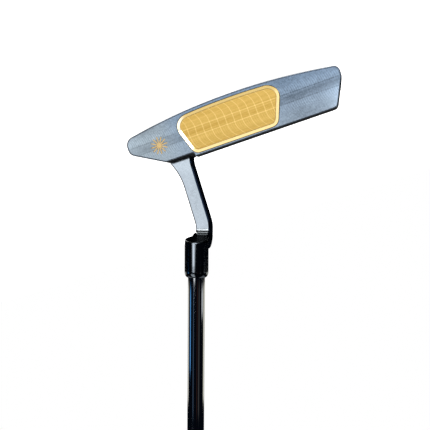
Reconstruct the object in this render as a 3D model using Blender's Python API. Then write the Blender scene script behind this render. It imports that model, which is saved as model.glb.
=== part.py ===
"""Blade putter: a milled head with a framed face insert, a crank neck, a stepped shaft and a pistol grip.

Metres, +Z up. The putter stands at address: the sole rests on z = 0 at the origin, the face looks along -Y
and the heel is at +X. Head shapes are drawn on the front view (x, z) and on depths behind the leading edge;
neck, shaft and grip are drawn on the shaft line, where s is the distance from the ground.
"""

import math

import bmesh
import bpy
from mathutils import Matrix, Vector

MM = 0.001

# Address position
LIE = math.radians(72.0)
LOFT = math.radians(3.0)
LEAD_Y = -13.0 * MM
CLUB_LENGTH = 864.0 * MM

# Head, seen from the front
HEEL_X = 62.0 * MM
TOE_X = -64.6 * MM
TOPLINE_Z = 27.6 * MM
LEDGE_DROP = 2.3 * MM
LEDGE_Z = TOPLINE_Z - LEDGE_DROP
LEDGE_X = 25.4 * MM
HEEL_SLOPE_Z = 14.4 * MM
HEEL_SLOPE = math.radians(29.0)
TOE_LEAN = math.radians(24.0)
TOE_LEAN_Z = 12.2 * MM
SOLE_RADIUS = 345.0 * MM
SOLE_LAND = 12.0 * MM
HEEL_RADIUS = 5.0 * MM
TOE_RADIUS = 6.2 * MM
TOE_SIDE_RADIUS = 4.0 * MM
TOE_TOP_RADIUS = 3.0 * MM
EDGE_BREAK = 0.5 * MM
FRONT_LIFT = 0.35 * MM
FRONT_LIFT_DEPTH = 5.0 * MM
SOLE_ROLL_HEIGHT = 12.0 * MM
LEDGE_END_RADIUS = 2.0 * MM
NOTCH_LOW_RADIUS = 0.8 * MM
NOTCH_TOP_RADIUS = 1.2 * MM

# Head, front to back
HEAD_DEPTH = 28.5 * MM
BLADE_DEPTH = 5.8 * MM
BUMPER_Z = 16.0 * MM
FLANGE_Z = 9.0 * MM
CAVITY_Z = 5.2 * MM
CAVITY_DEPTH = 7.0 * MM
BUMPER_TOE_X = -37.0 * MM
BUMPER_HEEL_X = 24.0 * MM
BACK_CORNER = 12.0 * MM
BACK_ROLL_DEPTH = 20.0 * MM
BACK_ROLL_LIFT = 2.4 * MM
CAVITY_SIDE = 5.0 * MM
MILL_RADIUS = 1.6 * MM
MILL_STEP = 0.06 * MM

# Face insert, its frame, its pad and its screws, in the plane of the face
INSERT_MARGIN = 1.4 * MM
INSERT_TOP = TOPLINE_Z - INSERT_MARGIN
INSERT_RISE = 2.4 * MM
INSERT_HALF_TOP = 24.8 * MM
INSERT_HALF_BOTTOM = 33.1 * MM
INSERT_TOP_RADIUS = 4.8 * MM
INSERT_BOTTOM_RADIUS = 6.8 * MM
FRAME_WIDTH = 1.8 * MM
FRAME_DEPTH = 1.6 * MM
FRAME_DROP = 0.15 * MM
FRAME_CHAMFER = 0.1 * MM
SEAM = 0.2 * MM
INSERT_THICKNESS = 2.2 * MM
PAD_THICKNESS = 0.6 * MM
POCKET_GAP = 0.2 * MM
SCREW_SPACING = 16.0 * MM
SCREW_MIDDLE_X = -5.0 * MM
SCREW_UP = 17.5 * MM
SCREW_RADIUS = 1.1 * MM
SCREW_HEAD_RADIUS = 2.1 * MM
SCREW_HEAD_HEIGHT = 1.1 * MM
SCREW_GRIP = 1.2 * MM
SCREW_KEY_RADIUS = 1.0 * MM
SCREW_KEY_DEPTH = 0.6 * MM
SCREW_SET_IN = 0.1 * MM

# Marks
MARK_X = 43.2 * MM
MARK_UP = 14.9 * MM
MARK_RADIUS = 4.9 * MM
MARK_RAYS = 12
MARK_RAY_WIDTH = 0.6 * MM
MARK_DEPTH = 0.7 * MM
MARK_CLEARANCE = 0.1 * MM
MARK_SET_IN = 0.05 * MM
SIGHT_WIDTH = 1.5 * MM
SIGHT_DEPTH = 0.8 * MM
SIGHT_MARGIN = 1.6 * MM

# Sole weights
WEIGHT_RADIUS = 5.6 * MM
WEIGHT_HEIGHT = 6.0 * MM
WEIGHT_HEEL_X = 45.0 * MM
WEIGHT_TOE_X = -47.0 * MM
WEIGHT_BACK = 14.5 * MM
WEIGHT_RECESS = 0.5 * MM
WEIGHT_CHAMFER = 0.5 * MM
HEX_RADIUS = 2.3 * MM
HEX_DEPTH = 2.6 * MM

# Crank neck
NECK_X = 34.5 * MM
NECK_WIDTH = 8.3 * MM
NECK_SET_BACK = 8.8 * MM
NECK_DEPTH = 10.0 * MM
NECK_EDGE = 0.7 * MM
HEEL_FLARE = 3.8 * MM
TOE_FLARE = 0.8 * MM
HEEL_FLARE_HEIGHT = 16.0 * MM
TOE_FLARE_HEIGHT = 4.5 * MM
TENON_RADIUS = 3.2 * MM
TENON_LENGTH = 7.0 * MM
SHOULDER_X = 28.6 * MM
BEND_RADIUS = 14.0 * MM

# Shaft line, collar and bridge
SHAFT_X = 13.4 * MM
SHAFT_FRONT = 4.7 * MM
COLLAR_RADIUS = 6.66 * MM
COLLAR_TOP = 97.3 * MM
COLLAR_FRONT_LOW = 77.6 * MM
COLLAR_BACK_LOW = 74.3 * MM
COLLAR_ROUND_LENGTH = 3.3 * MM
COLLAR_RIM = 0.6 * MM
COLLAR_LIP = 0.12 * MM
BRIDGE_TOP = 82.2 * MM
BRIDGE_ROUND = 9.5 * MM
BRIDGE_FILLET = 3.0 * MM

# Shaft
TIP_RADIUS = 4.7 * MM
BUTT_RADIUS = 7.35 * MM
SHAFT_WALL = 0.8 * MM
SHAFT_TIP = 80.2 * MM
STEP_FIRST = 300.0 * MM
STEP_SPACING = 25.0 * MM
STEPS = 11
STEP_LENGTH = 1.0 * MM
BOND_GAP = 0.15 * MM

# Grip
GRIP_LENGTH = 267.0 * MM
GRIP_END_ROUND = 3.0 * MM
GRIP_MOUTH_SHRINK = 0.94
GRIP_END_SHRINK = 0.16
GRIP_FLAT = (9.2 * MM, 1.4 * MM)
GRIP_HALF_WIDTH = (9.6 * MM, 3.8 * MM)
GRIP_BACK = (9.6 * MM, 3.6 * MM)
PISTOL_BULGE = 5.6 * MM
PISTOL_PLACE = 0.97
PISTOL_SPREAD = 0.13
TAPE_THICKNESS = 0.4 * MM
TAPE_FROM_MOUTH = 6.0 * MM
TAPE_FROM_CAP = 2.0 * MM
CAP_THICKNESS = 3.0 * MM
CAP_SKIRT = 0.3 * MM
VENT_RADIUS = 1.2 * MM

GAP = 0.3 * MM
OVERRUN = 10.0 * MM
MERGE = 0.001 * MM
ROUND_SIDES = 32
SCREW_SIDES = 16


# ---------------------------------------------------------------- helpers


def clear_scene():
    for obj in list(bpy.data.objects):
        bpy.data.objects.remove(obj, do_unlink=True)


def finish(name, color, metallic, roughness):
    material = bpy.data.materials.new(name)
    material.use_nodes = True
    shader = material.node_tree.nodes["Principled BSDF"]
    shader.inputs["Base Color"].default_value = (*color, 1.0)
    shader.inputs["Metallic"].default_value = metallic
    shader.inputs["Roughness"].default_value = roughness
    return material


def add_object(name, bm, material=None, parent=None, smooth=True):
    bmesh.ops.remove_doubles(bm, verts=bm.verts, dist=MERGE)
    bmesh.ops.recalc_face_normals(bm, faces=bm.faces)
    mesh = bpy.data.meshes.new(name)
    bm.to_mesh(mesh)
    bm.free()
    obj = bpy.data.objects.new(name, mesh)
    bpy.context.scene.collection.objects.link(obj)
    obj.parent = parent
    if smooth:
        mesh.shade_smooth()
        mesh.set_sharp_from_angle(angle=math.radians(30))
    if material:
        mesh.materials.append(material)
    return obj


def add_helper(name, bm, parent=None):
    obj = add_object(name, bm, parent=parent, smooth=False)
    obj.hide_render = True
    obj.display_type = "WIRE"
    return obj


def combine(obj, tool, operation="DIFFERENCE"):
    modifier = obj.modifiers.new(tool.name, "BOOLEAN")
    modifier.operation = operation
    modifier.object = tool


def cut_away(obj, tools):
    """Cuts all the tools from the object in one step, so that tools may share a surface."""
    group = bpy.data.collections.new(f"{obj.name}_cuts")
    for tool in tools:
        group.objects.link(tool)
    modifier = obj.modifiers.new(group.name, "BOOLEAN")
    modifier.operation = "DIFFERENCE"
    modifier.operand_type = "COLLECTION"
    modifier.collection = group


def add_frame(name, location, rotation):
    empty = bpy.data.objects.new(name, None)
    bpy.context.scene.collection.objects.link(empty)
    empty.location = location
    empty.rotation_euler = rotation
    return empty


def loft(bm, rings, cyclic=False):
    """Joins rings of equal length into a wall, and closes its two ends unless the rings form a loop."""
    loops = [[bm.verts.new(point) for point in ring] for ring in rings]
    pairs = list(zip(loops, loops[1:]))
    if cyclic:
        pairs.append((loops[-1], loops[0]))
    else:
        bm.faces.new(loops[0])
        bm.faces.new(loops[-1])
    count = len(rings[0])
    for low, high in pairs:
        for i in range(count):
            j = (i + 1) % count
            bm.faces.new((low[i], low[j], high[j], high[i]))


def turned(profile, sides=ROUND_SIDES, cyclic=False):
    """A solid of revolution about local Z, from (radius, height) points."""
    bm = bmesh.new()
    rings = []
    for radius, height in profile:
        angles = [2 * math.pi * i / sides for i in range(sides)]
        rings.append([Vector((radius * math.cos(a), radius * math.sin(a), height)) for a in angles])
    loft(bm, rings, cyclic)
    return bm


def rounded(corners, step=math.radians(15)):
    """The outline through (x, z, radius) corners. An arc takes at most half of a side it starts on."""
    outline = []
    count = len(corners)
    for i, (x, z, radius) in enumerate(corners):
        here = Vector((x, z))
        before = Vector(corners[i - 1][:2]) - here
        after = Vector(corners[(i + 1) % count][:2]) - here
        if radius == 0:
            outline.append(here)
            continue
        longest = 0.49 * min(before.length, after.length)
        before.normalize()
        after.normalize()
        opening = before.angle(after)
        reach = min(radius / math.tan(opening / 2), longest)
        radius = reach * math.tan(opening / 2)
        centre = here + (before + after).normalized() * radius / math.sin(opening / 2)
        start = here + before * reach - centre
        turn = (here + after * reach - centre).angle_signed(start)
        pieces = max(2, round(abs(turn) / step))
        for k in range(pieces + 1):
            angle = turn * k / pieces
            swung = Vector(
                (
                    start.x * math.cos(angle) - start.y * math.sin(angle),
                    start.x * math.sin(angle) + start.y * math.cos(angle),
                )
            )
            outline.append(centre + swung)
    return outline


def inset(outline, distance):
    """The outline moved inwards, for an outline that runs counterclockwise in (x, z)."""
    moved = []
    count = len(outline)
    for i, point in enumerate(outline):
        back = (point - outline[i - 1]).normalized()
        ahead = (outline[(i + 1) % count] - point).normalized()
        normal = (Vector((-back.y, back.x)) + Vector((-ahead.y, ahead.x))).normalized()
        moved.append(point + normal * distance / max(0.5, normal.dot(Vector((-back.y, back.x)))))
    return moved


def plate(outline, front, back):
    """A prism between two depths from an outline in (x, z)."""
    bm = bmesh.new()
    loft(bm, [[Vector((p.x, depth, p.y)) for p in outline] for depth in (front, back)])
    return bm


def milled_block(low_x, high_x, side, radius=MILL_RADIUS):
    """A cutter: a side view in (y, z) between two x values, with every edge rounded by the mill."""
    bm = bmesh.new()
    loft(bm, [[Vector((x, y, z)) for y, z in side] for x in (low_x, high_x)])
    bmesh.ops.recalc_face_normals(bm, faces=bm.faces)
    bmesh.ops.bevel(
        bm,
        geom=list(bm.edges),
        offset=radius,
        offset_type="OFFSET",
        segments=3,
        profile=0.5,
        affect="EDGES",
        material=-1,
        clamp_overlap=True,
    )
    return bm


# ---------------------------------------------------------------- shared geometry


def sole_z(x):
    """Height of the sole curve, which is cut flat at the land round the origin."""
    reach = max(abs(x), SOLE_LAND / 2)
    return math.sqrt(SOLE_RADIUS**2 - SOLE_LAND**2 / 4) - math.sqrt(SOLE_RADIUS**2 - reach**2)


def sole_tangent(x, at):
    """Height at x of the line that leaves the sole curve at `at`."""
    return sole_z(at) + (abs(x) - abs(at)) * abs(at) / math.sqrt(SOLE_RADIUS**2 - at**2)


def head_outline():
    """Front view of the head, counterclockwise from the heel end of the sole."""
    heel_sole = HEEL_X - 2.4 * HEEL_RADIUS
    toe_sole = TOE_X + 2.2 * TOE_RADIUS
    slope_top = HEEL_X - (LEDGE_Z - HEEL_SLOPE_Z) / math.tan(HEEL_SLOPE)
    toe_top = TOE_X + (TOPLINE_Z - TOE_LEAN_Z) * math.tan(TOE_LEAN)
    corners = [
        (heel_sole, sole_z(heel_sole), 0),
        (HEEL_X, sole_tangent(HEEL_X, heel_sole), HEEL_RADIUS),
        (HEEL_X, HEEL_SLOPE_Z, HEEL_RADIUS),
        (slope_top, LEDGE_Z, LEDGE_END_RADIUS),
        (LEDGE_X, LEDGE_Z, NOTCH_LOW_RADIUS),
        (LEDGE_X, TOPLINE_Z, NOTCH_TOP_RADIUS),
        (toe_top, TOPLINE_Z, TOE_TOP_RADIUS),
        (TOE_X, TOE_LEAN_Z, TOE_SIDE_RADIUS),
        (TOE_X, sole_tangent(TOE_X, toe_sole), TOE_RADIUS),
        (toe_sole, sole_z(toe_sole), 0),
    ]
    outline = rounded(corners)
    land = SOLE_LAND / 2
    pieces = 7
    for k in range(1, pieces + 1):
        x = toe_sole + (-land - toe_sole) * k / pieces
        outline.append(Vector((x, sole_z(x))))
    for k in range(pieces):
        x = land + (heel_sole - land) * k / pieces
        outline.append(Vector((x, sole_z(x))))
    return outline


def insert_outline(offset):
    """The insert's outline in the plane of the face, moved inwards by offset."""
    lean = math.atan2(INSERT_HALF_BOTTOM - INSERT_HALF_TOP, INSERT_TOP - INSERT_RISE)
    top = INSERT_TOP - offset
    low = INSERT_RISE + offset
    side = offset / math.cos(lean)
    half_top = INSERT_HALF_TOP - side + offset * math.tan(lean)
    half_low = INSERT_HALF_BOTTOM - side - offset * math.tan(lean)
    radius_low = INSERT_BOTTOM_RADIUS - offset
    radius_top = INSERT_TOP_RADIUS - offset
    corners = [
        (half_low, low, radius_low),
        (half_top, top, radius_top),
        (-half_top, top, radius_top),
        (-half_low, low, radius_low),
    ]
    outline = rounded(corners)
    pieces = 12
    left = min(p.x for p in outline if p.y < low + MERGE)
    right = -left
    for k in range(1, pieces):
        outline.append(Vector((left + (right - left) * k / pieces, low)))
    for point in outline:
        share = max(0.0, (top - point.y) / (top - low))
        point.y += sole_z(point.x) * share**2
    return outline


def up_the_face(z):
    """Distance behind the leading edge of the leaning face at height z."""
    return z * math.tan(LOFT)


def weight_places():
    return {"heel": WEIGHT_HEEL_X, "toe": WEIGHT_TOE_X}


def screw_places():
    return [SCREW_MIDDLE_X + SCREW_SPACING * k for k in (-1, 0, 1)]


def blade_wall_back():
    """Depth, square to the face, of the blade's back surface."""
    return BLADE_DEPTH * math.cos(LOFT)


def pocket_depth():
    return INSERT_THICKNESS + PAD_THICKNESS + 2 * POCKET_GAP


# ---------------------------------------------------------------- head


def quarter(share):
    """Height lost by a quarter circle of unit radius after a share of its run."""
    return 1 - math.sqrt(max(0.0, 1 - min(1.0, share) ** 2))


def head_station(outline, depth):
    """The head's section at a depth behind the leading edge."""
    break_in = EDGE_BREAK * quarter(max(0.0, 1 - depth / EDGE_BREAK))
    corner = max(0.0, depth - (HEAD_DEPTH - BACK_CORNER)) / BACK_CORNER
    pull = BACK_CORNER * 0.7 * quarter(corner)
    front_lift = FRONT_LIFT * max(0.0, 1 - depth / FRONT_LIFT_DEPTH) ** 2
    rolled = max(0.0, depth - BACK_ROLL_DEPTH) / (HEAD_DEPTH - BACK_ROLL_DEPTH)
    back_lift = BACK_ROLL_LIFT * rolled**2
    ring = []
    for point in inset(outline, break_in):
        low = sole_z(point.x)
        share = min(1.0, max(0.0, 1 - (point.y - low) / SOLE_ROLL_HEIGHT))
        z = point.y + (front_lift + back_lift) * share
        x = point.x * (1 - pull / HEEL_X)
        ring.append(Vector((x, LEAD_Y + depth + up_the_face(z), z)))
    return ring


def make_head(material, face):
    outline = head_outline()
    edge_steps = 4
    depths = []
    for k in range(edge_steps + 1):
        depths.append(EDGE_BREAK * (1 - math.cos(math.pi / 2 * k / edge_steps)))
    depths += [FRONT_LIFT_DEPTH / 2, FRONT_LIFT_DEPTH, BACK_ROLL_DEPTH]
    back_steps = 6
    for k in range(1, back_steps + 1):
        rolled = math.sin(math.pi / 2 * k / back_steps)
        depths.append(BACK_ROLL_DEPTH + (HEAD_DEPTH - BACK_ROLL_DEPTH) * rolled)
    bm = bmesh.new()
    loft(bm, [head_station(outline, depth) for depth in depths])
    head = add_object("head_body", bm, material)

    cut_away(head, head_cutters(face))
    return head


def head_cutters(face):
    """Everything that the mill takes out of the head's block."""
    far = 60 * MM
    back = LEAD_Y + BLADE_DEPTH
    cutters = []

    def behind_blade(name, low_x, high_x, low_z, rear, passes):
        """Each later pass stays one step clear of the wall that an earlier one left."""
        front = back + passes * MILL_STEP
        side = [
            (front + up_the_face(low_z), low_z),
            (rear, low_z),
            (rear, far),
            (front + up_the_face(far), far),
        ]
        cutters.append(add_helper(name, milled_block(low_x, high_x, side)))

    behind_blade("cut_above_bumpers", -2 * far, SHOULDER_X, BUMPER_Z, far, 0)
    behind_blade("cut_above_flange", BUMPER_TOE_X, BUMPER_HEEL_X, FLANGE_Z, far * 0.9, 1)
    low_x = BUMPER_TOE_X + CAVITY_SIDE
    high_x = BUMPER_HEEL_X - CAVITY_SIDE
    behind_blade("cut_cavity", low_x, high_x, CAVITY_Z, back + CAVITY_DEPTH, 2)

    shoulder_back = LEAD_Y + NECK_SET_BACK + NECK_DEPTH + NECK_EDGE
    behind_shoulder = [
        (shoulder_back, BUMPER_Z),
        (shoulder_back + far, BUMPER_Z),
        (shoulder_back + far, far),
        (shoulder_back, far),
    ]
    cutters.append(add_helper("cut_behind_shoulder", milled_block(0, 2 * far, behind_shoulder)))

    pocket = plate(insert_outline(-POCKET_GAP), -OVERRUN, pocket_depth())
    cutters.append(add_helper("cut_insert_pocket", pocket, face))

    sink_radius = SCREW_HEAD_RADIUS + GAP
    sink_depth = blade_wall_back() - SCREW_HEAD_HEIGHT - GAP
    for k, x in enumerate(screw_places()):
        hole = turned([(SCREW_RADIUS + GAP, 0), (SCREW_RADIUS + GAP, BLADE_DEPTH)], SCREW_SIDES)
        cutters.append(place_screw(add_helper(f"cut_screw_hole_{k}", hole, face), x, 0))
        sink = turned([(sink_radius, 0), (sink_radius, BLADE_DEPTH)], SCREW_SIDES)
        cutters.append(place_screw(add_helper(f"cut_screw_sink_{k}", sink, face), x, sink_depth))

    star = mark_star(MARK_CLEARANCE, -MM, MARK_DEPTH + MARK_CLEARANCE)
    cutters.append(add_helper("cut_mark", star, face))

    for place, x in weight_places().items():
        bore_top = sole_z(x) + WEIGHT_RECESS + WEIGHT_HEIGHT + GAP
        bore = turned([(WEIGHT_RADIUS + GAP, -OVERRUN), (WEIGHT_RADIUS + GAP, bore_top)])
        cutter = add_helper(f"cut_{place}_weight", bore)
        cutter.location = (x, LEAD_Y + WEIGHT_BACK, 0)
        cutters.append(cutter)

    socket = turned([(TENON_RADIUS + GAP, -TENON_LENGTH - GAP), (TENON_RADIUS + GAP, OVERRUN)])
    cutter = add_helper("cut_neck_socket", socket)
    cutter.location = (NECK_X, LEAD_Y + NECK_SET_BACK + NECK_DEPTH / 2, LEDGE_Z)
    cutters.append(cutter)

    sight = sight_block(SIGHT_WIDTH / 2 + GAP / 2, SIGHT_DEPTH, OVERRUN)
    cutters.append(add_helper("cut_sight_line", sight))
    return cutters


def place_screw(obj, x, depth):
    """Turns a piece made along Z so that it runs backwards from a depth behind the face."""
    obj.rotation_euler = (-math.pi / 2, 0, 0)
    obj.location = (x, depth, SCREW_UP)
    return obj


def mark_star(clearance, front, back):
    """A plain sunburst: straight rays of even width that meet at its centre."""
    half = MARK_RAY_WIDTH / 2 + clearance
    step = 2 * math.pi / MARK_RAYS
    valley = half / math.sin(step / 2)
    outline = []
    for k in range(MARK_RAYS):
        turn = Matrix.Rotation(step * k, 2)
        for x, z in ((MARK_RADIUS + clearance, -half), (MARK_RADIUS + clearance, half)):
            outline.append(turn @ Vector((x, z)))
        outline.append(Matrix.Rotation(step * (k + 0.5), 2) @ Vector((valley, 0)))
    centre = Vector((MARK_X, MARK_UP))
    return plate([centre + point for point in outline], front, back)


def sight_block(half_width, depth, above):
    """The sight line on the flange, from behind the cavity to near the back edge."""
    front = LEAD_Y + BLADE_DEPTH + CAVITY_DEPTH + SIGHT_MARGIN
    back = LEAD_Y + HEAD_DEPTH - 2.5 * SIGHT_MARGIN
    corners = [
        (-half_width, front, half_width * 0.99),
        (half_width, front, half_width * 0.99),
        (half_width, back, half_width * 0.99),
        (-half_width, back, half_width * 0.99),
    ]
    bm = bmesh.new()
    outline = rounded(corners, math.radians(30))
    rings = [
        [Vector((p.x, p.y, z)) for p in outline] for z in (FLANGE_Z - depth, FLANGE_Z + above)
    ]
    loft(bm, rings)
    return bm


# ---------------------------------------------------------------- face pieces


def make_insert_frame(material, face):
    """The frame round the insert: a ring whose front slopes down to the insert."""
    outer = insert_outline(0)
    middle = insert_outline(FRAME_WIDTH * 0.1)
    inner = insert_outline(FRAME_WIDTH)
    bm = bmesh.new()
    rings = [
        [Vector((p.x, FRAME_DEPTH, p.y)) for p in outer],
        [Vector((p.x, FRAME_CHAMFER, p.y)) for p in outer],
        [Vector((p.x, 0, p.y)) for p in middle],
        [Vector((p.x, FRAME_DROP, p.y)) for p in inner],
        [Vector((p.x, FRAME_DEPTH, p.y)) for p in inner],
    ]
    loft(bm, rings, cyclic=True)
    return add_object("insert_frame", bm, material, face)


def make_face_insert(material, face):
    """The struck plate: a step round its edge passes under the frame."""
    inner = insert_outline(FRAME_WIDTH + SEAM)
    outer = insert_outline(0)
    bm = bmesh.new()
    rings = [
        [Vector((p.x, 0, p.y)) for p in inner],
        [Vector((p.x, FRAME_DEPTH + POCKET_GAP, p.y)) for p in inner],
        [Vector((p.x, FRAME_DEPTH + POCKET_GAP, p.y)) for p in outer],
        [Vector((p.x, INSERT_THICKNESS, p.y)) for p in outer],
    ]
    loft(bm, rings)
    insert = add_object("face_insert", bm, material, face)
    for k, x in enumerate(screw_places()):
        start = INSERT_THICKNESS - SCREW_GRIP - GAP
        hole = turned([(SCREW_RADIUS + GAP, 0), (SCREW_RADIUS + GAP, BLADE_DEPTH)], SCREW_SIDES)
        combine(insert, place_screw(add_helper(f"cut_insert_hole_{k}", hole, face), x, start))
    return insert


def make_insert_pad(material, face):
    front = INSERT_THICKNESS + POCKET_GAP
    bm = plate(insert_outline(0), front, front + PAD_THICKNESS)
    pad = add_object("insert_bond_pad", bm, material, face)
    for k, x in enumerate(screw_places()):
        hole = turned([(SCREW_RADIUS + GAP, 0), (SCREW_RADIUS + GAP, BLADE_DEPTH)], SCREW_SIDES)
        combine(pad, place_screw(add_helper(f"cut_pad_hole_{k}", hole, face), x, 0))
    return pad


def make_insert_screws(material, face):
    """Flat-headed screws from the back of the blade into the insert, each with a round recess."""
    tip = INSERT_THICKNESS - SCREW_GRIP
    seat = blade_wall_back() - SCREW_HEAD_HEIGHT
    end = blade_wall_back() - SCREW_SET_IN
    for place, x in zip(("toe", "middle", "heel"), screw_places()):
        bm = turned(
            [
                (SCREW_RADIUS, tip),
                (SCREW_RADIUS, seat),
                (SCREW_HEAD_RADIUS, seat),
                (SCREW_HEAD_RADIUS, end),
                (SCREW_KEY_RADIUS, end),
                (SCREW_KEY_RADIUS, end - SCREW_KEY_DEPTH),
            ],
            12,
        )
        place_screw(add_object(f"insert_screw_{place}", bm, material, face), x, 0)


def make_mark(material, face):
    star = mark_star(0, MARK_SET_IN, MARK_DEPTH)
    return add_object("heel_mark_fill", star, material, face)


def make_sight_line(material):
    bm = sight_block(SIGHT_WIDTH / 2, SIGHT_DEPTH - GAP / 2, -MARK_SET_IN)
    return add_object("sight_line_fill", bm, material)


def make_weight(place, x, material):
    low = sole_z(x) + WEIGHT_RECESS
    bm = turned(
        [
            (WEIGHT_RADIUS - WEIGHT_CHAMFER, 0),
            (WEIGHT_RADIUS, WEIGHT_CHAMFER),
            (WEIGHT_RADIUS, WEIGHT_HEIGHT),
        ]
    )
    weight = add_object(f"{place}_sole_weight", bm, material)
    weight.location = (x, LEAD_Y + WEIGHT_BACK, low)
    hex_key = turned([(HEX_RADIUS, -MM), (HEX_RADIUS, HEX_DEPTH)], 6)
    cutter = add_helper(f"cut_{place}_hex", hex_key)
    cutter.location = weight.location
    combine(weight, cutter)
    return weight


# ---------------------------------------------------------------- neck


def neck_ring(middle, across, low_y, high_y, heel, toe):
    """One section of the neck: a rectangle with small chamfered corners."""
    cut = min(NECK_EDGE, (high_y - low_y) / 3)
    corners = [
        (-toe, low_y + cut),
        (-toe + cut, low_y),
        (heel - cut, low_y),
        (heel, low_y + cut),
        (heel, high_y - cut),
        (heel - cut, high_y),
        (-toe + cut, high_y),
        (-toe, high_y - cut),
    ]
    return [middle + across * x + Vector((0, y, 0)) for x, y in corners]


def flare(height, size, reach):
    """How far a root flare stands out at a height above the ledge."""
    return size * max(0.0, 1 - height / reach) ** 2


def underside_s(y):
    """Distance from the ground, along the shaft line, of the bridge's sloping underside."""
    front = LEAD_Y - SHAFT_FRONT - COLLAR_RADIUS
    share = (y - front) / (2 * COLLAR_RADIUS)
    return COLLAR_FRONT_LOW + (COLLAR_BACK_LOW - COLLAR_FRONT_LOW) * share


def post_rings(front, back, half, bend_z):
    """The upright post, flared at its root, and its bend to the shaft's lean."""
    rings = []
    base = LEDGE_Z + GAP / 2
    flare_steps = 7
    for k in range(flare_steps + 1):
        height = HEEL_FLARE_HEIGHT * k / flare_steps
        heel = half + flare(height, HEEL_FLARE, HEEL_FLARE_HEIGHT)
        toe = half + flare(height, TOE_FLARE, TOE_FLARE_HEIGHT)
        middle = Vector((NECK_X, 0, base + height))
        rings.append(neck_ring(middle, Vector((1, 0, 0)), front, back, heel, toe))
    tilt = math.pi / 2 - LIE
    pivot = Vector((NECK_X + BEND_RADIUS, 0, bend_z - BEND_RADIUS * math.tan(tilt / 2)))
    bend_steps = 4
    for k in range(bend_steps + 1):
        angle = tilt * k / bend_steps
        across = Vector((math.cos(angle), 0, -math.sin(angle)))
        rings.append(neck_ring(pivot - across * BEND_RADIUS, across, front, back, half, half))
    return rings


def bridge_front(front, axis_y):
    """(s, y) places of the bridge's front: the fillet below it, then the sloping underside."""
    slope = math.atan2(COLLAR_FRONT_LOW - COLLAR_BACK_LOW, 2 * COLLAR_RADIUS)
    turn = math.pi / 2 - slope
    start = underside_s(front) - BRIDGE_FILLET * math.tan(turn / 2)
    places = []
    fillet_steps = 4
    for k in range(fillet_steps + 1):
        angle = turn * k / fillet_steps
        y = front - BRIDGE_FILLET * (1 - math.cos(angle))
        places.append((start + BRIDGE_FILLET * math.sin(angle), y))
    places.append((underside_s(axis_y), axis_y))
    return places


def depth_at(places, s):
    """The front's y at s, straight between its places and level beyond them."""
    if s <= places[0][0]:
        return places[0][1]
    for (low, y_low), (high, y_high) in zip(places, places[1:]):
        if s <= high:
            return y_low + (y_high - y_low) * (s - low) / (high - low)
    return places[-1][1]


def neck_rings():
    """Sections of the neck from the ledge to the shaft line, where the bridge's back is rounded over."""
    front = LEAD_Y + NECK_SET_BACK
    back = front + NECK_DEPTH
    half = NECK_WIDTH / 2
    bend_z = (NECK_X - SHAFT_X) * math.tan(LIE)
    rings = post_rings(front, back, half, bend_z)
    along = Vector((math.cos(LIE), 0, math.sin(LIE)))
    across = Vector((math.sin(LIE), 0, -math.cos(LIE)))
    bend_end = bend_z / math.sin(LIE) + BEND_RADIUS * math.tan((math.pi / 2 - LIE) / 2)
    places = bridge_front(front, LEAD_Y - SHAFT_FRONT)
    round_start = BRIDGE_TOP - BRIDGE_ROUND
    round_steps = 7
    stations = {s for s, _ in places}
    for k in range(round_steps + 1):
        stations.add(round_start + BRIDGE_ROUND * math.sin(math.pi / 2 * k / round_steps))
    for s in sorted(stations):
        if s <= bend_end:
            continue
        high = back - BRIDGE_ROUND * quarter(max(0.0, s - round_start) / BRIDGE_ROUND)
        origin = Vector((SHAFT_X, 0, 0)) + along * s
        rings.append(neck_ring(origin, across, depth_at(places, s), high, half, half))
    return rings


def collar_solid():
    """The collar round the shaft, with a rounded upper end and a sloping lower end."""
    lip = TIP_RADIUS + BOND_GAP + COLLAR_LIP
    round_steps = 6
    profile = [(COLLAR_RADIUS, COLLAR_BACK_LOW - OVERRUN)]
    for k in range(round_steps + 1):
        angle = math.pi / 2 * k / round_steps
        radius = lip + (COLLAR_RADIUS - lip) * math.cos(angle)
        height = COLLAR_TOP - COLLAR_ROUND_LENGTH * (1 - math.sin(angle))
        profile.append((radius, height))
    bm = turned(profile)
    middle = (COLLAR_FRONT_LOW + COLLAR_BACK_LOW) / 2
    slope = (COLLAR_BACK_LOW - COLLAR_FRONT_LOW) / (2 * COLLAR_RADIUS)
    cut = bmesh.ops.bisect_plane(
        bm,
        geom=list(bm.verts) + list(bm.edges) + list(bm.faces),
        plane_co=(0, 0, middle),
        plane_no=Vector((0, -slope, 1)).normalized(),
        clear_inner=True,
    )
    rim = [item for item in cut["geom_cut"] if isinstance(item, bmesh.types.BMEdge)]
    bmesh.ops.contextual_create(bm, geom=rim)
    bmesh.ops.bevel(
        bm,
        geom=rim,
        offset=COLLAR_RIM,
        offset_type="OFFSET",
        segments=2,
        profile=0.5,
        affect="EDGES",
        material=-1,
    )
    return bm


def make_neck(material, shaft_line):
    bm = bmesh.new()
    loft(bm, neck_rings())
    neck = add_object("crank_neck", bm, material)
    combine(neck, add_helper("collar_solid", collar_solid(), shaft_line), "UNION")
    tenon = turned([(TENON_RADIUS, -TENON_LENGTH), (TENON_RADIUS, GAP * 10)], 24)
    peg = add_helper("neck_tenon", tenon)
    peg.location = (NECK_X, LEAD_Y + NECK_SET_BACK + NECK_DEPTH / 2, LEDGE_Z)
    combine(neck, peg, "UNION")
    radius = TIP_RADIUS + BOND_GAP
    bore = turned([(radius, SHAFT_TIP - GAP), (radius, COLLAR_TOP + OVERRUN)])
    combine(neck, add_helper("cut_shaft_bore", bore, shaft_line))
    return neck


# ---------------------------------------------------------------- shaft and grip


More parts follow.
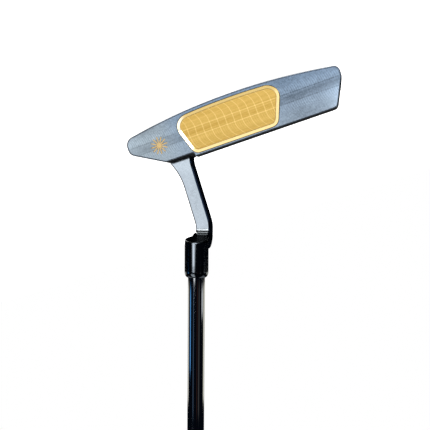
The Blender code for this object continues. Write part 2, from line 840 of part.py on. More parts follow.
def make_shaft(material, shaft_line):
    """A steel tube that steps up from the tip to the butt, open at both ends."""
    butt = CLUB_LENGTH - CAP_THICKNESS - GAP
    profile = [(TIP_RADIUS, SHAFT_TIP)]
    for k in range(STEPS):
        low = TIP_RADIUS + (BUTT_RADIUS - TIP_RADIUS) * k / STEPS
        high = TIP_RADIUS + (BUTT_RADIUS - TIP_RADIUS) * (k + 1) / STEPS
        s = STEP_FIRST + STEP_SPACING * k
        profile.append((low, s))
        profile.append((high, s + STEP_LENGTH))
    profile.append((BUTT_RADIUS, butt))
    profile.append((BUTT_RADIUS - SHAFT_WALL, butt))
    last_step = STEP_FIRST + STEP_SPACING * (STEPS - 1)
    profile.append((BUTT_RADIUS - SHAFT_WALL, last_step))
    profile.append((TIP_RADIUS - SHAFT_WALL, STEP_FIRST))
    profile.append((TIP_RADIUS - SHAFT_WALL, SHAFT_TIP))
    return add_object("shaft", turned(profile, cyclic=True), material, shaft_line)


def tape_radii():
    inner = BUTT_RADIUS + BOND_GAP
    return inner, inner + TAPE_THICKNESS


def make_tape(material, shaft_line):
    inner, outer = tape_radii()
    low = CLUB_LENGTH - GRIP_LENGTH + TAPE_FROM_MOUTH
    high = CLUB_LENGTH - CAP_THICKNESS - TAPE_FROM_CAP
    bm = turned([(outer, low), (outer, high), (inner, high), (inner, low)], cyclic=True)
    return add_object("grip_tape", bm, material, shaft_line)


def grip_size(share):
    """Flat offset, half width and back depth of the grip at a share of its length from the mouth."""
    flat = GRIP_FLAT[0] + GRIP_FLAT[1] * share**0.6
    swell = math.sin(math.pi / 2 * min(1.0, share * 1.15))
    half_width = GRIP_HALF_WIDTH[0] + GRIP_HALF_WIDTH[1] * swell
    pistol = math.exp(-(((share - PISTOL_PLACE) / PISTOL_SPREAD) ** 2))
    back = GRIP_BACK[0] + GRIP_BACK[1] * share + PISTOL_BULGE * pistol
    return flat, half_width, back


def grip_ring(share, s, shrink=1.0, sides=ROUND_SIDES):
    """A grip section: flat towards the toe side (local -X), round towards the heel side."""
    flat, half_width, back = grip_size(share)
    ring = []
    for i in range(sides):
        angle = 2 * math.pi * (i + 0.5) / sides
        c = math.cos(angle)
        y = half_width * shrink * math.copysign(abs(math.sin(angle)) ** 0.85, math.sin(angle))
        x = back * shrink * c if c > 0 else -shrink * min(flat, flat * 1.25 * abs(c) ** 0.8)
        ring.append(Vector((x, y, s)))
    return ring


def make_grip(material, shaft_line):
    mouth = CLUB_LENGTH - GRIP_LENGTH
    bore = tape_radii()[1] + BOND_GAP
    rings = []
    rings.append(grip_ring(0, mouth, GRIP_MOUTH_SHRINK))
    sections = 16
    body = GRIP_LENGTH - GRIP_END_ROUND - MM
    for k in range(sections + 1):
        share = k / sections
        rings.append(grip_ring(share, mouth + MM + body * share))
    for k in range(1, 4):
        angle = math.pi / 2 * k / 3
        shrink = 1 - GRIP_END_SHRINK * (1 - math.cos(angle))
        rings.append(grip_ring(1.0, CLUB_LENGTH - GRIP_END_ROUND * (1 - math.sin(angle)), shrink))
    angles = [2 * math.pi * (i + 0.5) / ROUND_SIDES for i in range(ROUND_SIDES)]
    for s in (CLUB_LENGTH, mouth):
        rings.append([Vector((bore * math.cos(a), bore * math.sin(a), s)) for a in angles])
    bm = bmesh.new()
    loft(bm, rings, cyclic=True)
    return add_object("grip", bm, material, shaft_line)


def make_end_cap(material, shaft_line):
    radius = tape_radii()[1] + BOND_GAP - CAP_SKIRT
    low = CLUB_LENGTH - CAP_THICKNESS
    bm = turned(
        [(radius, low), (radius, CLUB_LENGTH), (VENT_RADIUS, CLUB_LENGTH), (VENT_RADIUS, low)],
        cyclic=True,
    )
    return add_object("grip_end_cap", bm, material, shaft_line)


# ---------------------------------------------------------------- assembly


def main():
    clear_scene()
    steel = finish("milled_steel", (0.36, 0.43, 0.50), 1.0, 0.34)
    gold = finish("gold_alloy", (0.72, 0.50, 0.14), 1.0, 0.32)
    bright_gold = finish("bright_gold", (0.80, 0.58, 0.20), 1.0, 0.22)
    pad = finish("bond_pad", (0.05, 0.05, 0.05), 0.0, 0.8)
    dark_steel = finish("dark_steel", (0.10, 0.11, 0.12), 1.0, 0.3)
    paint = finish("gold_paint", (0.75, 0.50, 0.14), 0.4, 0.4)
    white = finish("white_paint", (0.80, 0.80, 0.78), 0.0, 0.4)
    chrome = finish("dark_chrome", (0.30, 0.32, 0.35), 1.0, 0.1)
    paper = finish("tape_paper", (0.75, 0.70, 0.58), 0.0, 0.9)
    rubber = finish("grip_rubber", (0.02, 0.02, 0.022), 0.0, 0.7)
    cap = finish("cap_rubber", (0.03, 0.03, 0.032), 0.0, 0.6)

    face = add_frame("face_plane", (0, LEAD_Y, 0), (-LOFT, 0, 0))
    shaft_line = add_frame(
        "shaft_line", (SHAFT_X, LEAD_Y - SHAFT_FRONT, 0), (0, math.pi / 2 - LIE, 0)
    )

    make_head(steel, face)
    make_insert_frame(bright_gold, face)
    make_face_insert(gold, face)
    make_insert_pad(pad, face)
    make_insert_screws(dark_steel, face)
    make_mark(paint, face)
    make_sight_line(white)
    for place, x in weight_places().items():
        make_weight(place, x, dark_steel)
    make_neck(steel, shaft_line)
    make_shaft(chrome, shaft_line)
    make_tape(paper, shaft_line)
    make_grip(rubber, shaft_line)
    make_end_cap(cap, shaft_line)


main()
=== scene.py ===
"""Looks of the blade putter: camera, studio, finishes and the finely shaped visible pieces."""

import math

import bmesh
import bpy
from mathutils import Matrix, Vector


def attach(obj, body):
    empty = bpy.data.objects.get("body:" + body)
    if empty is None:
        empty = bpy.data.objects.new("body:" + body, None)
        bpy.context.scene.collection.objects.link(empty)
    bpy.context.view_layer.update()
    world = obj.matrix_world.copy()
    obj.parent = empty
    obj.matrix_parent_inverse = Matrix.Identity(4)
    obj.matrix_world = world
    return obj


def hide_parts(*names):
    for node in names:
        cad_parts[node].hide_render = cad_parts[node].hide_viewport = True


MM = 0.001

# Address position and the lines that the pieces share
LIE = math.radians(72.0)
LOFT = math.radians(3.0)
FACE_SLOPE = math.tan(LOFT)
LEAD_Y = -13.0 * MM
ALONG = Vector((math.cos(LIE), 0, math.sin(LIE)))
ACROSS = Vector((math.sin(LIE), 0, -math.cos(LIE)))

# Camera
EYE = Vector((-47.64, -340.72, 76.95)) * MM
LOOK = Vector((0.213156, 0.976070, -0.043038))
VIEW_DOWN = Vector((0.297916, -0.022981, 0.954315))
LENS = 50.2
SENSOR = 36.0
NEAREST = 1 * MM
FARTHEST = 50.0

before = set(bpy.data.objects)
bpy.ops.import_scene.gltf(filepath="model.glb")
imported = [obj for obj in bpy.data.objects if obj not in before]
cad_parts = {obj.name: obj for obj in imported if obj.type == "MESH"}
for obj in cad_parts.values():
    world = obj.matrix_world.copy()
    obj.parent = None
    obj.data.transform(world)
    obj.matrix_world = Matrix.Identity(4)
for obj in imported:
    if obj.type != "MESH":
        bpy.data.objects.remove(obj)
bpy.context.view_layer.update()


# ---------------------------------------------------------------- shader arithmetic


class Wire:
    """A socket of a node tree, with arithmetic that adds Math nodes."""

    def __init__(self, tree, socket):
        self.tree = tree
        self.socket = socket

    def math(self, operation, *others):
        values = dict(enumerate((self, *others)))
        return self.tree.node("ShaderNodeMath", {"operation": operation}, values)

    def __add__(self, other):
        return self.math("ADD", other)

    def __radd__(self, other):
        return self.math("ADD", other)

    def __sub__(self, other):
        return self.math("SUBTRACT", other)

    def __rsub__(self, other):
        return self.tree.number(other).math("SUBTRACT", self)

    def __mul__(self, other):
        return self.math("MULTIPLY", other)

    def __rmul__(self, other):
        return self.math("MULTIPLY", other)

    def __abs__(self):
        return self.math("ABSOLUTE")

    def ramp(self, low, high, start=0.0, end=1.0):
        """A smooth step from start to end while the value runs from low to high."""
        values = {"Value": self, "From Min": low, "From Max": high, "To Min": start, "To Max": end}
        return self.tree.node("ShaderNodeMapRange", {"interpolation_type": "SMOOTHSTEP"}, values)

    def fall(self, low, high):
        """A smooth step down from 1 to 0."""
        return self.ramp(low, high, 1.0, 0.0)

    def between(self, low, high, soft):
        """1 between two values, 0 outside them, with soft ends."""
        return self.ramp(low - soft, low + soft) * self.fall(high - soft, high + soft)

    def line(self, at, half_width):
        """1 on a value and 0 from half_width away from it."""
        return abs(self - at).fall(0.0, half_width)

    def wave(self, period):
        """A sine from 0 to 1."""
        return (self * (2 * math.pi / period)).math("SINE") * 0.5 + 0.5

    def lines(self, period, half_width):
        """1 on lines that repeat, and 0 from half_width away from them."""
        return self.math("FLOORED_MODULO", period).line(period / 2, half_width)

    def at_most_one(self):
        return self.math("MINIMUM", 1.0)


class Tree:
    """Nodes of a material or a world."""

    def __init__(self, owner):
        owner.use_nodes = True
        self.nodes = owner.node_tree.nodes
        self.links = owner.node_tree.links

    def node(self, kind, settings=None, values=None, output=0):
        made = self.nodes.new(kind)
        for name, value in (settings or {}).items():
            setattr(made, name, value)
        for name, value in (values or {}).items():
            self.feed(made.inputs[name], value)
        return Wire(self, made.outputs[output])

    def feed(self, socket, value):
        if isinstance(value, Wire):
            self.links.new(value.socket, socket)
        else:
            socket.default_value = value

    def number(self, value):
        return self.node("ShaderNodeMath", {"operation": "ADD"}, {0: value, 1: 0.0})

    def dot(self, vector, axis):
        settings = {"operation": "DOT_PRODUCT"}
        return self.node("ShaderNodeVectorMath", settings, {0: vector, 1: axis}, output="Value")

    def place(self):
        """x, y and z of the point on the piece, in millimetres."""
        point = self.node("ShaderNodeTexCoord", output="Object")
        split = self.node("ShaderNodeSeparateXYZ", None, {0: point}).socket.node
        return [Wire(self, split.outputs[i]) * (1 / MM) for i in range(3)]

    def join(self, x, y, z):
        return self.node("ShaderNodeCombineXYZ", None, {0: x, 1: y, 2: z})

    def noise(self, vector, scale, detail=3.0, roughness=0.6):
        values = {"Vector": vector, "Scale": scale, "Detail": detail, "Roughness": roughness}
        return self.node("ShaderNodeTexNoise", None, values)

    def mix(self, share, first, second, blend="MIX"):
        settings = {"data_type": "RGBA", "blend_type": blend, "clamp_factor": True}
        return self.node("ShaderNodeMix", settings, {0: share, 6: first, 7: second}, output=2)

    def shaded(self, color, shade):
        """A colour times a number."""
        factor = self.node("ShaderNodeCombineColor", None, {0: shade, 1: shade, 2: shade})
        return self.mix(1.0, color, factor, "MULTIPLY")

    def bump(self, height, distance, strength=1.0):
        values = {"Height": height, "Distance": distance, "Strength": strength}
        return self.node("ShaderNodeBump", None, values)


def rgb(red, green, blue):
    return (red, green, blue, 1.0)


class Finish(Tree):
    """A material with one Principled shader."""

    def __init__(self, name, **fixed):
        self.material = bpy.data.materials.new(name)
        super().__init__(self.material)
        self.shader = self.nodes["Principled BSDF"]
        self.set(**fixed)

    def set(self, **values):
        for name, value in values.items():
            self.feed(self.shader.inputs[name.replace("_", " ").title()], value)
        return self


# ---------------------------------------------------------------- pieces

WELD = 0.002 * MM
FLAT_TURN = math.radians(0.3)
SHADING_WEIGHT = 80
SHARP = math.radians(30.0)
HEAD_SHARP = math.radians(20.0)

# The band round the milled face, painted dark as a painted reflection of the dark room, and what counts as
# part of that face
FACE_BAND = 0.3 * MM
FACE_FRONT = Vector((0, -math.cos(LOFT), math.sin(LOFT)))
FACE_FLATNESS = 0.99999
FACE_REACH = 0.01 * MM

# The insert's rim: depth of its inner edge behind the face, how far that edge comes forward, and how far
# it sinks again on the heel side, between two heights in millimetres
RIM_EDGE = (0.12 * MM, 0.5 * MM)
RIM_RAISE = 0.10 * MM
RIM_HEEL_X = 20 * MM
HEEL_TILT = 0.34 * MM
TILT_FOOT = 7.5
TILT_RISE = 3.6
TILT_TOP = 25.0
TILT_FALL = 3.0


def show(name, bm, finish, replaced, sharp=SHARP):
    """Links a finished bmesh as a visible piece that rides on the putter."""
    mesh = bpy.data.meshes.new(name)
    bm.to_mesh(mesh)
    bm.free()
    mesh.shade_smooth()
    mesh.set_sharp_from_angle(angle=sharp)
    mesh.materials.append(finish.material)
    obj = bpy.data.objects.new(name, mesh)
    bpy.context.scene.collection.objects.link(obj)
    modifier = obj.modifiers.new("even_shading", "WEIGHTED_NORMAL")
    modifier.keep_sharp = True
    modifier.weight = SHADING_WEIGHT
    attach(obj, "root")
    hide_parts(*replaced)
    return obj


def copy_of(node):
    """The CAD node's mesh as a bmesh, with its loose triangles joined and flat areas made whole."""
    bm = bmesh.new()
    bm.from_mesh(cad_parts[node].data)
    bmesh.ops.remove_doubles(bm, verts=bm.verts, dist=WELD)
    bmesh.ops.dissolve_degenerate(bm, dist=WELD, edges=bm.edges)
    bmesh.ops.dissolve_limit(
        bm,
        angle_limit=FLAT_TURN,
        use_dissolve_boundaries=False,
        verts=bm.verts,
        edges=bm.edges,
        delimit=set(),
    )
    return bm


def depth_behind_face(point):
    return point.y - LEAD_Y - point.z * FACE_SLOPE


def limited(value):
    """The value, kept from 0 to 1."""
    return min(1.0, max(0.0, value))


def face_band(head):
    """Cuts a narrow band inside the milled face's edges. Its outer loop takes the second material, a painted
    dark edge that stands in for the dark reflection along the outline.
    """
    face = [
        part
        for part in head.faces
        if part.normal.dot(FACE_FRONT) > FACE_FLATNESS
        and abs(depth_behind_face(part.calc_center_median())) < FACE_REACH
    ]
    band = bmesh.ops.inset_region(
        head, faces=face, thickness=FACE_BAND, depth=0, use_boundary=True, use_even_offset=True
    )
    ring = set(band["faces"])
    # From the part nearest the heel, which is in the outer loop, step to the neighbours until the loop closes
    reached = [max(ring, key=lambda part: part.calc_center_median().x)]
    ring.remove(reached[0])
    for part in reached:
        part.material_index = 1
        beside = {other for edge in part.edges for other in edge.link_faces} & ring
        ring -= beside
        reached.extend(beside)
    return head


def recolour(node, finish):
    """A CAD node that is shown as it is, in its finish."""
    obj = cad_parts[node]
    obj.data.materials.clear()
    obj.data.materials.append(finish.material)


def ease_rim(rim):
    """Makes the rim's slope gentler all round and steeper on its heel side, by its inner edge's depth."""
    for vert in rim.verts:
        if RIM_EDGE[0] < depth_behind_face(vert.co) < RIM_EDGE[1]:
            vert.co.y -= RIM_RAISE
            if vert.co.x > RIM_HEEL_X:
                height = vert.co.z / MM
                low = limited((height - TILT_FOOT) / TILT_RISE) ** 2
                high = limited((TILT_TOP - height) / TILT_FALL)
                vert.co.y += HEEL_TILT * low * high
    return rim


# ---------------------------------------------------------------- finishes

# Places are in millimetres: x runs from toe to heel, y from front to back and z up from the sole, and
# "along" is the distance along the shaft's line. A pair is where a change starts and where it ends. A
# stretch with a third number has that softness at both ends.

# Cutter marks, on the face and the insert
FACE_MID = 14.0
CUT_LINES = (11.6, 16.5)
LINE_HALF = 0.4
ARC_REACH = 4.6
CUT_SWING = 0.0036
FINE_CUT = 1.2
WIDE_CUT = 4.5
CUT_DEPTH = 0.006 * MM
CUT_STRENGTH = 0.5

# Head
ON_FACE = (0.02, 0.08)
STREAK_BAND = (1.8, 3.2)
FACE_FOOT = 4.0
FACE_TALL = 22.0
FACE_ENDS = (26.0, 38.0)
HEEL_PART = (24.0, 40.0)
HEEL_COLOR_PART = (24.0, 44.0)
# Places of painted highlights at the heel end, the heel's top and the toe corner, and of painted shade on the
# toe side of the insert
HEEL_END_HIGHLIGHT = (50.0, 62.0)
HEEL_TOP_X = (20.0, 40.0)
HEEL_TOP_Z = (17.0, 25.0)
TOE_CORNER_X = (-48.0, -63.0)
TOE_CORNER_Z = (8.0, 26.0)
TOE_PAINTED_SHADE = (-42.0, -28.0, 4.0)
TOPLINE = (24.5, 24.7)
# The face's colours carry a painted reflection: bluer low down, paler high up and at the heel
FACE_LOW_REFLECTION = rgb(0.18, 0.245, 0.33)
FACE_HIGH_REFLECTION = rgb(0.285, 0.345, 0.41)
FACE_HEEL_REFLECTION = rgb(0.285, 0.335, 0.375)
BODY_STEEL = rgb(0.19, 0.21, 0.24)
TOPLINE_PAINTED_SHADE = rgb(0.002, 0.0025, 0.003)

# Neck: the flat front of its post, with a painted pale reflection, the lip at that front's end, the painted
# highlight line under it, the bridge and the collar, with painted shade under the bridge and at the collar's
# end
FRONT_FOOT = (25.0, 26.0)
FRONT_END = (76.2, 76.5)
FRONT_NEAR = (-5.2, -4.8)
FRONT_FAR = (-4.5, -4.1)
LIP_START = (74.9, 75.0)
LIP_FAR = (-4.2, -4.1)
LINE_PART = (76.6, 77.6, 0.15)
LINE_NEAR = (-8.5, -8.0)
BRIDGE = (77.5, 82.0, 0.15)
COLLAR_END = (94.2, 95.2)
POST_SHADE = (42.0, 27.0)
NECK_STEEL = rgb(0.30, 0.335, 0.37)
NECK_FRONT_REFLECTION = rgb(0.435, 0.475, 0.505)
NECK_PAINTED_SHADE = rgb(0.015, 0.018, 0.02)
NECK_PAINTED_HIGHLIGHT = rgb(0.95, 0.95, 0.93)

# Insert and its rim
PLATE_ARC_HALF = 0.42
PLATE_ARC_START = 0.1
# Each line's place, half width and strength
PLATE_LINES = ((CUT_LINES[0], 0.42, 1.0), (CUT_LINES[1] - 0.1, 0.42, 1.0), (13.0, 0.3, 0.5))
FINE_ARCS = (18.5, 4.0)
DARK_BAND_HALF = 2.6
GOLD_DEEP = rgb(0.57, 0.34, 0.072)
GOLD_LIGHT = rgb(0.77, 0.51, 0.145)
GOLD_CUT = rgb(0.98, 0.73, 0.27)
RIM_FOOT = (5.5, 9.0)
RIM_HEEL = (23.0, 29.0)
RIM_PAINTED_SHADE = rgb(0.53, 0.375, 0.14)
RIM_GOLD = rgb(0.73, 0.54, 0.245)
RIM_PAINTED_HIGHLIGHT = rgb(0.93, 0.84, 0.64)

# Grip
GRIP_PANEL = (622.0, 838.0)
GRIP_GROOVE = 9.0
GROOVE_HALF = 0.9
GROOVE_LEAN = 0.8
GROOVE_DEPTH = 0.4 * MM
RING_GAP = 4.0
RUBBER = rgb(0.013, 0.013, 0.014)
RUBBER_GROOVE = rgb(0.040, 0.040, 0.042)


def cut_place(x, z):
    """Where the cutter's arc through a point of the face crosses its middle height."""
    up = z - FACE_MID
    return x + up * up * up * CUT_SWING


def steel_finish():
    """Milled face with cutter arcs and a streaked band between two grooves; darker body. Painted reflection,
    highlights and shade on the face; the topline is painted black as shade.
    """
    steel = Finish("milled_steel", metallic=1.0)
    x, y, z = steel.place()
    from_mid = abs(z - FACE_MID)
    on_face = (y - LEAD_Y / MM - z * FACE_SLOPE).fall(*ON_FACE)
    band = from_mid.fall(*STREAK_BAND)
    ends = abs(cut_place(x, z)).ramp(*FACE_ENDS)
    heel = x.ramp(*HEEL_PART)
    painted_heel_top_highlight = x.ramp(*HEEL_TOP_X) * z.ramp(*HEEL_TOP_Z)
    painted_toe_highlight = x.ramp(*TOE_CORNER_X) * z.ramp(*TOE_CORNER_Z)

    arcs = cut_place(x, z).wave(FINE_CUT) * from_mid.line(ARC_REACH, ARC_REACH)
    grooves = z.line(CUT_LINES[0], LINE_HALF) + z.line(CUT_LINES[1], LINE_HALF)
    streaks = steel.noise(steel.join(x * 0.008, 0.0, z * 0.9), 1.0)
    grain = steel.noise(steel.join(x, y, z), 1.0, detail=4.0, roughness=0.8)
    cloud = steel.noise(steel.join(x * 0.12, y, z * 0.3), 1.0)

    # The grooves are cut as bumps and also darkened as painted shade
    shade = 1.0 + (arcs - 0.35) * (0.14 + ends * 0.20) - grooves * 0.26
    shade = shade + (streaks - 0.5) * (band * (0.42 - heel * 0.22) + 0.14)
    shade = shade + (cloud - 0.5) * 0.35 + (grain - 0.5) * (1.5 - band * 0.4)
    # The band's darker tone and painted shade on the insert's toe side, then painted highlights at the toe
    # corner, the heel end and the heel's top
    shade = shade - band * (0.20 - heel * 0.14) - x.between(*TOE_PAINTED_SHADE) * 0.10
    shade = shade + painted_toe_highlight * 0.95 + x.ramp(*HEEL_END_HIGHLIGHT) * 0.25 + painted_heel_top_highlight * 0.2

    # Painted reflection: bluer towards the sole, paler towards the top and the heel
    color = steel.mix((z - FACE_FOOT) * (1 / FACE_TALL), FACE_LOW_REFLECTION, FACE_HIGH_REFLECTION)
    color = steel.mix(x.ramp(*HEEL_COLOR_PART), color, FACE_HEEL_REFLECTION)
    color = steel.mix(on_face, BODY_STEEL, steel.shaded(color, shade))
    # Painted shade: the topline and ledge are painted near black and matte for the dark room they reflect
    topline = z.ramp(*TOPLINE) * (1 - on_face)
    color = steel.mix(topline, color, TOPLINE_PAINTED_SHADE)
    height = (arcs * 0.5 - grooves + grain * 0.35) * on_face
    steel.set(
        base_color=color,
        metallic=1 - topline,
        roughness=0.13 + on_face * 0.15 + topline * 0.45,
        normal=steel.bump(height, CUT_DEPTH, CUT_STRENGTH),
    )
    return steel


def neck_finish():
    """Cast steel, with a painted pale reflection on the post's flat front, painted shade under the bridge and
    at the collar's end, and a painted highlight line under the front's end.
    """
    neck = Finish("cast_neck", metallic=1.0)
    x, y, z = neck.place()
    point = neck.join(x, y, z)
    along = x * math.cos(LIE) + z * math.sin(LIE)
    cloud = neck.noise(point, 0.22)
    grain = neck.noise(point, 0.8, detail=4.0, roughness=0.75)

    front = y.ramp(*FRONT_NEAR) * z.ramp(*FRONT_FOOT) * along.fall(*FRONT_END)
    lip = along.ramp(*LIP_START) * y.fall(*LIP_FAR)
    front = (front * (y.fall(*FRONT_FAR) + lip)).at_most_one()
    painted_shade = (along.between(*BRIDGE) + along.ramp(*COLLAR_END) * 0.3).at_most_one()
    painted_highlight = along.between(*LINE_PART) * y.ramp(*LINE_NEAR)

    shade = 1.0 + (cloud - 0.5) * (0.2 + front * 0.6) + (grain - 0.5) * (0.16 + front * 1.7)
    shade = shade + z.ramp(*POST_SHADE) * 0.16
    # Painted reflection on the front, painted shade under the bridge and at the collar's end, and a painted
    # highlight line
    color = neck.mix(front, NECK_STEEL, NECK_FRONT_REFLECTION)
    color = neck.mix(painted_shade, color, NECK_PAINTED_SHADE)
    color = neck.mix(painted_highlight, color, NECK_PAINTED_HIGHLIGHT)
    neck.set(base_color=neck.shaded(color, shade), roughness=0.11 + front * 0.12)
    return neck


def gold_finish():
    """Struck plate with wide cutter arcs, lines along it and a fine uneven grain."""
    gold = Finish("gold_alloy", metallic=1.0)
    x, y, z = gold.place()
    along = cut_place(x, z)
    wobble = gold.noise(gold.join(x * 0.05, 0.0, z * 0.05), 3.0, detail=2.0, roughness=0.5) - 0.5
    arcs = (along + wobble * 0.8 + PLATE_ARC_START).lines(WIDE_CUT, PLATE_ARC_HALF)
    rails = sum(z.line(at, half) * strength for at, half, strength in PLATE_LINES)
    fine = along.wave(FINE_CUT) * z.line(*FINE_ARCS)
    streaks = gold.noise(gold.join(x * 0.025, 0.0, z * 1.1), 1.0)
    grain = gold.noise(gold.join(x * 0.5, y, z * 1.4), 1.5, detail=4.0, roughness=0.8)

    light = (arcs * 0.55 + rails * 0.5).at_most_one()
    tone = 0.62 + (streaks - 0.5) * 1.3 + (grain - 0.5) * 1.3
    tone = tone + (fine - 0.4) * 0.35 - z.line(FACE_MID, DARK_BAND_HALF) * 0.25
    color = gold.mix(tone, GOLD_DEEP, GOLD_LIGHT)
    color = gold.mix(light * 0.9, color, GOLD_CUT)
    normal = gold.bump(light + fine * 0.4, CUT_DEPTH, CUT_STRENGTH)
    gold.set(base_color=color, roughness=0.34, normal=normal)
    return gold


def rim_finish():
    """Bright gold, with painted shade that deepens it towards the sole and a painted highlight that makes the
    heel side paler.
    """
    rim = Finish("bright_gold", metallic=1.0)
    x, y, z = rim.place()
    tone = rim.noise(rim.join(x, y, z), 0.8)
    # Painted shade low down and a painted highlight on the heel side
    color = rim.mix(z.ramp(*RIM_FOOT), RIM_PAINTED_SHADE, RIM_GOLD)
    color = rim.mix(x.ramp(*RIM_HEEL), color, RIM_PAINTED_HIGHLIGHT)
    rim.set(base_color=rim.shaded(color, 1.0 + (tone - 0.5) * 0.2), roughness=0.16)
    return rim


def grip_finish():
    """Moulded rubber: crossing grooves on the sleeve's middle and plain ends with one ring each."""
    rubber = Finish("grip_rubber", metallic=0.0)
    x, y, z = rubber.place()
    along = x * math.cos(LIE) + z * math.sin(LIE)
    lean = (x * math.sin(LIE) - z * math.cos(LIE)) * GROOVE_LEAN
    panel = along.between(*GRIP_PANEL, 0.5)
    grooves = [way.lines(GRIP_GROOVE, GROOVE_HALF) for way in (along + lean, along - lean)]
    places = (GRIP_PANEL[0] - RING_GAP, GRIP_PANEL[1] + RING_GAP)
    rings = [along.line(place, GROOVE_HALF) for place in places]
    mark = ((grooves[0] + grooves[1]) * panel + (rings[0] + rings[1])).at_most_one()
    tone = rubber.noise(rubber.join(x, y, z), 0.8)
    color = rubber.mix(mark, RUBBER, RUBBER_GROOVE)
    rubber.set(
        base_color=rubber.shaded(color, 1.0 + (tone - 0.5) * 0.3),
        roughness=0.5 + (tone - 0.5) * 0.1,
        normal=rubber.bump(1 - mark, GROOVE_DEPTH),
    )
    return rubber


def plain_finish(name, color, roughness, metallic, grain, scale):
    """One colour with an uneven tone: its strength is grain, and its fineness is scale."""
    finish = Finish(name, metallic=metallic)
    x, y, z = finish.place()
    tone = finish.noise(finish.join(x, y, z), scale)
    finish.set(
        base_color=finish.shaded(rgb(*color), 1.0 + (tone - 0.5) * grain),
        roughness=roughness + (tone - 0.5) * 0.06,
    )
    return finish


steel = steel_finish()
neck_steel = neck_finish()
gold = gold_finish()
rim_gold = rim_finish()
chrome = plain_finish("dark_chrome", (0.66, 0.68, 0.70), 0.06, 1.0, 0.04, 0.3)
# Painted reflection: near-black steel for the face's outline band, standing in for the dark room it reflects
painted_dark_edge = plain_finish("painted_dark_edge", (0.05, 0.06, 0.08), 0.2, 1.0, 0.2, 1.0)
dark_steel = plain_finish("dark_steel", (0.26, 0.27, 0.29), 0.28, 1.0, 0.12, 1.0)
gold_paint = plain_finish("gold_paint", (0.58, 0.40, 0.17), 0.35, 0.5, 0.10, 2.0)
white_paint = plain_finish("white_paint", (0.78, 0.78, 0.75), 0.45, 0.0, 0.05, 2.0)
pad_rubber = plain_finish("bond_pad", (0.04, 0.04, 0.042), 0.8, 0.0, 0.1, 2.0)
paper = plain_finish("tape_paper", (0.70, 0.64, 0.50), 0.85, 0.0, 0.1, 2.0)
grip_rubber = grip_finish()
cap_rubber = plain_finish("cap_rubber", (0.028, 0.028, 0.03), 0.5, 0.0, 0.2, 1.0)

# ---------------------------------------------------------------- visible pieces

banded = face_band(copy_of("head_body"))
head = show("head", banded, steel, ["head_body"], sharp=HEAD_SHARP)
# The face's outline band takes the painted dark edge
head.data.materials.append(painted_dark_edge.material)
show("neck", copy_of("crank_neck"), neck_steel, ["crank_neck"])
show("insert", copy_of("face_insert"), gold, ["face_insert"])
show("insert_rim", ease_rim(copy_of("insert_frame")), rim_gold, ["insert_frame"])
show("heel_mark", copy_of("heel_mark_fill"), gold_paint, ["heel_mark_fill"])
show("shaft_tube", copy_of("shaft"), chrome, ["shaft"])
show("grip_sleeve", copy_of("grip"), grip_rubber, ["grip"])
show("sole_weight_heel", copy_of("heel_sole_weight"), dark_steel, ["heel_sole_weight"])
show("sole_weight_toe", copy_of("toe_sole_weight"), dark_steel, ["toe_sole_weight"])
show("end_cap", copy_of("grip_end_cap"), cap_rubber, ["grip_end_cap"])
for place in ("toe", "middle", "heel"):
    recolour(f"insert_screw_{place}", dark_steel)
recolour("sight_line_fill", white_paint)
recolour("insert_bond_pad", pad_rubber)
recolour("grip_tape", paper)

# ---------------------------------------------------------------- studio

# Soft boxes that only reflections show. Each has its first and last angle round the shaft's line, from the
# front and with the heel side positive, in degrees, and their softness; its lowest and highest place as
# the sine of the angle up that line, and their softness; and its colour.
BOXES = [
    (-4, 31, 5.0, -0.43, 0.05, 0.02, (1.62, 1.67, 1.72)),
    (-4, 31, 5.0, -0.88, -0.62, 0.02, (3.2, 3.2, 3.2)),
    (6, 25, 8.0, 0.045, 0.130, 0.012, (2.15, 2.2, 2.25)),
    (-14, -3, 2.0, -0.44, -0.17, 0.03, (5.0, 5.2, 5.6)),
    (8, 46, 5.0, 0.42, 0.93, 0.04, (0.90, 0.93, 0.96)),
    (-78, -45, 6.0, -0.75, -0.24, 0.04, (0.05, 0.09, 0.17)),
    (20, 30, 5.0, 0.140, 0.34, 0.01, (0.05, 0.085, 0.14)),
    (66, 79, 2.0, 0.147, 0.275, 0.01, (0.12, 0.42, 0.92)),
    (-60, -46, 4.0, 0.140, 0.34, 0.01, (0.055, 0.055, 0.055)),
    (-113, -92, 5.0, 0.146, 0.19, 0.01, (0.70, 0.72, 0.73)),
    (-30, -24, 3.0, 0.140, 0.34, 0.01, (0.05, 0.018, 0.012)),
    (108, 140, 4.0, 0.138, 0.32, 0.01, (0.85, 0.80, 0.70)),
    (112, 142, 4.0, -0.34, 0.01, 0.02, (0.95, 0.96, 0.98)),
    (-168, -129, 4.0, 0.138, 0.32, 0.01, (0.80, 0.77, 0.66)),
    (-150, -130, 4.0, -0.60, -0.20, 0.03, (0.60, 0.58, 0.54)),
    (100, 180, 8.0, -0.30, 0.00, 0.03, (0.55, 0.56, 0.58)),
    (-62, -18, 6.0, -0.80, -0.50, 0.03, (1.30, 1.33, 1.36)),
    (136, 153, 3.0, -0.75, -0.38, 0.03, (5.0, 5.0, 4.9)),
]

# The dark room round the boxes, and the lighter part of it that is high up on the back's side
ROOM = rgb(0.0015, 0.0025, 0.005)
ABOVE = rgb(0.30, 0.31, 0.33)
ABOVE_START = (0.55, 0.65)
ABOVE_END = (0.93, 0.97)
ABOVE_SIDE = (85.0, 100.0)

WHITE = rgb(1.0, 1.0, 1.0)
FLOOR_HALF = 6.0


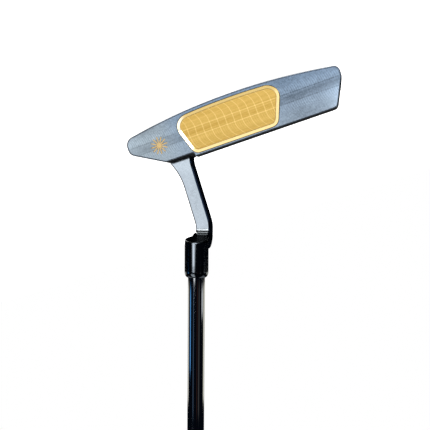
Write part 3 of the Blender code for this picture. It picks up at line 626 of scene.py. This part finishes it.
def make_studio():
    world = bpy.data.worlds.new("studio")
    bpy.context.scene.world = world
    tree = Tree(world)
    direction = tree.node("ShaderNodeTexCoord", output="Generated")
    side = tree.dot(direction, ACROSS)
    front = tree.dot(direction, Vector((0, -1, 0)))
    high = tree.dot(direction, ALONG)
    angle = side.math("ARCTAN2", front) * math.degrees(1.0)
    above = high.ramp(*ABOVE_START) * high.fall(*ABOVE_END) * abs(angle).ramp(*ABOVE_SIDE)
    color = tree.mix(above, ROOM, ABOVE)
    for left, right, soft, low, top, blur, shade in BOXES:
        mask = angle.between(left, right, soft) * high.between(low, top, blur)
        color = tree.mix(mask, color, rgb(*shade))
    path = tree.node("ShaderNodeLightPath").socket.node
    seen = Wire(tree, path.outputs["Is Camera Ray"])
    diffuse = Wire(tree, path.outputs["Is Diffuse Ray"])
    color = tree.mix(diffuse, color, WHITE)
    color = tree.mix(seen, color, WHITE)
    tree.feed(tree.nodes["Background"].inputs["Color"], color)


def make_floor():
    bm = bmesh.new()
    bmesh.ops.create_grid(bm, x_segments=1, y_segments=1, size=FLOOR_HALF)
    mesh = bpy.data.meshes.new("floor")
    bm.to_mesh(mesh)
    bm.free()
    floor = bpy.data.objects.new("floor", mesh)
    bpy.context.scene.collection.objects.link(floor)
    finish = Finish("pale_floor", base_color=rgb(0.9, 0.9, 0.9), roughness=0.9)
    finish.set(emission_color=WHITE, emission_strength=1.0)
    mesh.materials.append(finish.material)
    floor.visible_glossy = False
    floor.visible_shadow = False


def make_camera():
    data = bpy.data.cameras.new("camera")
    camera = bpy.data.objects.new("camera", data)
    bpy.context.scene.collection.objects.link(camera)
    data.lens = LENS
    data.sensor_width = SENSOR
    data.clip_start = NEAREST
    data.clip_end = FARTHEST
    forward = LOOK.normalized()
    up = (-VIEW_DOWN + forward * VIEW_DOWN.dot(forward)).normalized()
    right = forward.cross(up)
    turn = Matrix((right, up, -forward)).transposed().to_4x4()
    camera.matrix_world = Matrix.Translation(EYE) @ turn
    bpy.context.scene.camera = camera


make_studio()
make_floor()
make_camera()
bpy.context.scene.view_settings.view_transform = "Standard"
